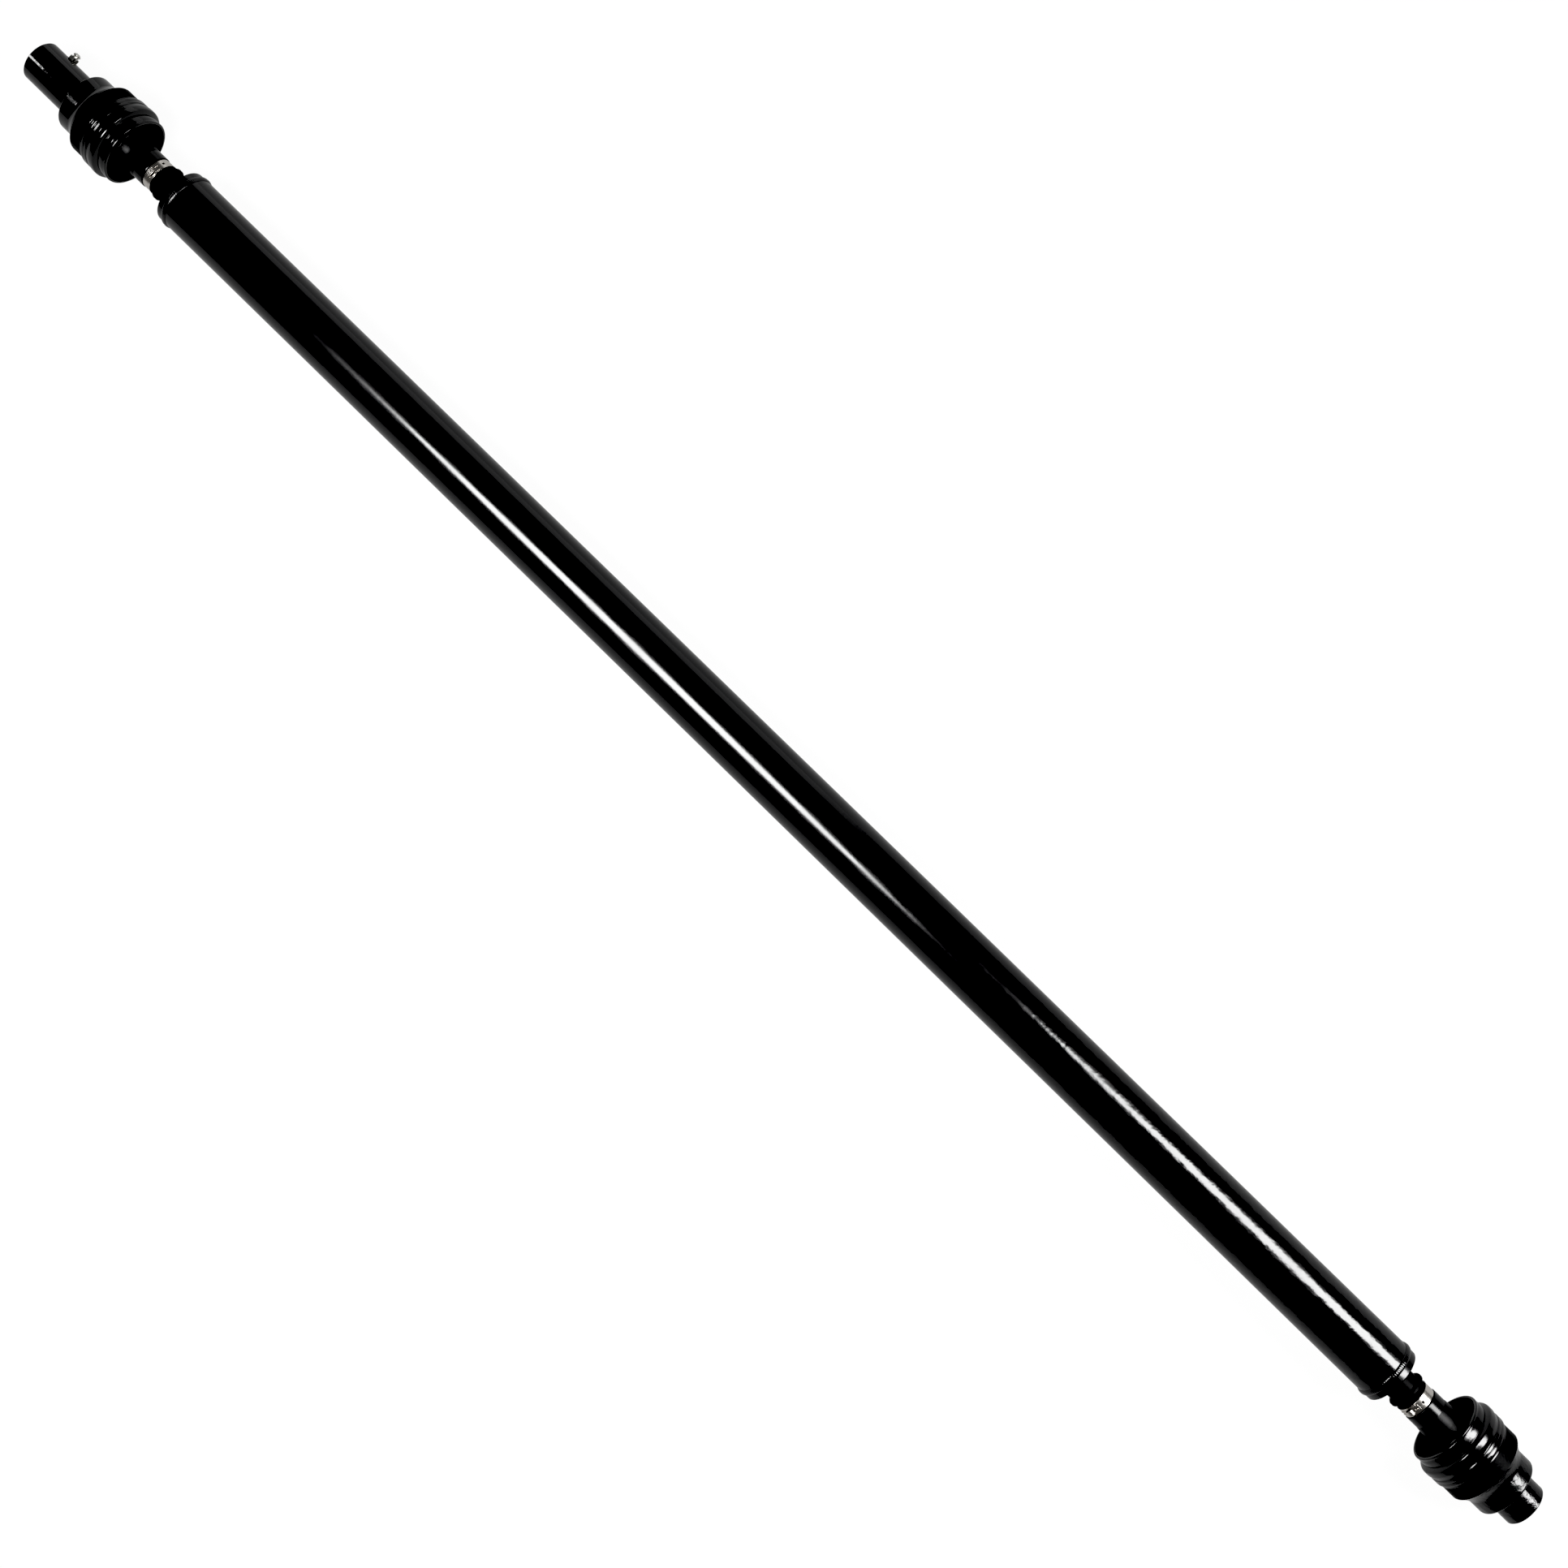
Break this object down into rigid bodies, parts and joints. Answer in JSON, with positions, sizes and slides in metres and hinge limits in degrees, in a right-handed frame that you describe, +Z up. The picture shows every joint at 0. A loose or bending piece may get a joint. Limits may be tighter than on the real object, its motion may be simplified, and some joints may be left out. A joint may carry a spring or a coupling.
{
  "type": "universal joint shaft",
  "caption": "Long tubular drive shaft with an enclosed constant-velocity universal joint and a splined hub at each end; rubber boots, band clamps, one grease fitting.",
  "frame": {"origin": "on the shaft's axis, midway between the mouths of the two hubs", "axes": "+X along the shaft towards the rear (short) hub, +Y the way the grease fitting points, +Z up"},
  "size_m": [1.695, 0.072, 0.072],
  "materials": {
    "painted_tube": "gloss black paint with slight orange peel",
    "painted_weld": "gloss black paint over a rippled weld",
    "painted_steel": "satin to gloss black paint over a forging",
    "painted_can": "gloss black paint over stamped steel",
    "boot_rubber": "satin moulded rubber",
    "seal_rubber": "matte rubber ring",
    "stainless_band": "bright stainless band",
    "zinc_fitting": "bright zinc plate",
    "ground_steel": "hardened and ground steel",
    "ball_steel": "polished bearing steel",
    "spring_steel": "blued spring steel",
    "plug_steel": "stamped zinc-plated steel"
  },
  "bodies": {
    "shaft": {"shaft_tube": "painted_tube", "front_tube_weld": "painted_weld", "front_stub_shaft": "painted_steel", "front_inner_race": "ground_steel", "front_race_circlip": "spring_steel", "front_boot_clamp": "stainless_band", "front_boot": "boot_rubber", "rear_tube_weld": "painted_weld", "rear_stub_shaft": "painted_steel", "rear_inner_race": "ground_steel", "rear_race_circlip": "spring_steel", "rear_boot_clamp": "stainless_band", "rear_boot": "boot_rubber"},
    "front_lead_ball": {"front_top_ball": "ball_steel"},
    "front_ball_cage": {"front_cage": "ground_steel", "front_side_balls": "ball_steel"},
    "front_trail_ball": {"front_bottom_ball": "ball_steel"},
    "front_hub": {"front_outer_race": "painted_steel", "front_spline_hub": "painted_steel", "front_boot_can": "painted_can", "front_can_seal": "seal_rubber", "front_grease_plug": "plug_steel", "front_hub_seal": "seal_rubber", "grease_fitting": "zinc_fitting", "grease_spring": "spring_steel"},
    "front_check_ball": {"grease_check_ball": "ball_steel"},
    "rear_lead_ball": {"rear_top_ball": "ball_steel"},
    "rear_ball_cage": {"rear_cage": "ground_steel", "rear_side_balls": "ball_steel"},
    "rear_trail_ball": {"rear_bottom_ball": "ball_steel"},
    "rear_hub": {"rear_outer_race": "painted_steel", "rear_spline_hub": "painted_steel", "rear_boot_can": "painted_can", "rear_can_seal": "seal_rubber", "rear_grease_plug": "plug_steel", "rear_hub_seal": "seal_rubber"}
  },
  "joints": [
    {"name": "front_pitch_at_shaft", "type": "hinge", "parent": "shaft", "child": "front_lead_ball", "pos_m": [-0.75675, 0, 0], "axis": [0, 1, 0], "range_deg": [-6, 6], "deforming": ["front_boot"]},
    {"name": "front_yaw", "type": "hinge", "parent": "front_lead_ball", "child": "front_trail_ball", "pos_m": [-0.75675, 0, 0], "axis": [0, 0, 1], "range_deg": [-12, 12]},
    {"name": "front_pitch_at_hub", "type": "hinge", "parent": "front_trail_ball", "child": "front_hub", "pos_m": [-0.75675, 0, 0], "axis": [0, 1, 0], "range_deg": [-6, 6]},
    {"name": "front_cage_yaw", "type": "hinge", "parent": "front_lead_ball", "child": "front_ball_cage", "pos_m": [-0.75675, 0, 0], "axis": [0, 0, 1], "range_deg": [-6, 6]},
    {"name": "rear_pitch_at_shaft", "type": "hinge", "parent": "shaft", "child": "rear_lead_ball", "pos_m": [0.79065, 0, 0], "axis": [0, 1, 0], "range_deg": [-6, 6], "deforming": ["rear_boot"]},
    {"name": "rear_yaw", "type": "hinge", "parent": "rear_lead_ball", "child": "rear_trail_ball", "pos_m": [0.79065, 0, 0], "axis": [0, 0, 1], "range_deg": [-12, 12]},
    {"name": "rear_pitch_at_hub", "type": "hinge", "parent": "rear_trail_ball", "child": "rear_hub", "pos_m": [0.79065, 0, 0], "axis": [0, 1, 0], "range_deg": [-6, 6]},
    {"name": "rear_cage_yaw", "type": "hinge", "parent": "rear_lead_ball", "child": "rear_ball_cage", "pos_m": [0.79065, 0, 0], "axis": [0, 0, 1], "range_deg": [-6, 6]},
    {"name": "grease_check_ball_slide", "type": "slide", "parent": "front_hub", "child": "front_check_ball", "axis": [0, -1, 0], "range_m": [0, 0.001], "stiffness_N_per_m": 200, "springref_m": -0.002, "deforming": ["grease_spring"]}
  ],
  "couplings": [
    {"joint": "front_pitch_at_shaft", "follows": "front_pitch_at_hub", "ratio": 1},
    {"joint": "front_cage_yaw", "follows": "front_yaw", "ratio": 0.5},
    {"joint": "rear_pitch_at_shaft", "follows": "rear_pitch_at_hub", "ratio": 1},
    {"joint": "rear_cage_yaw", "follows": "rear_yaw", "ratio": 0.5}
  ]
}
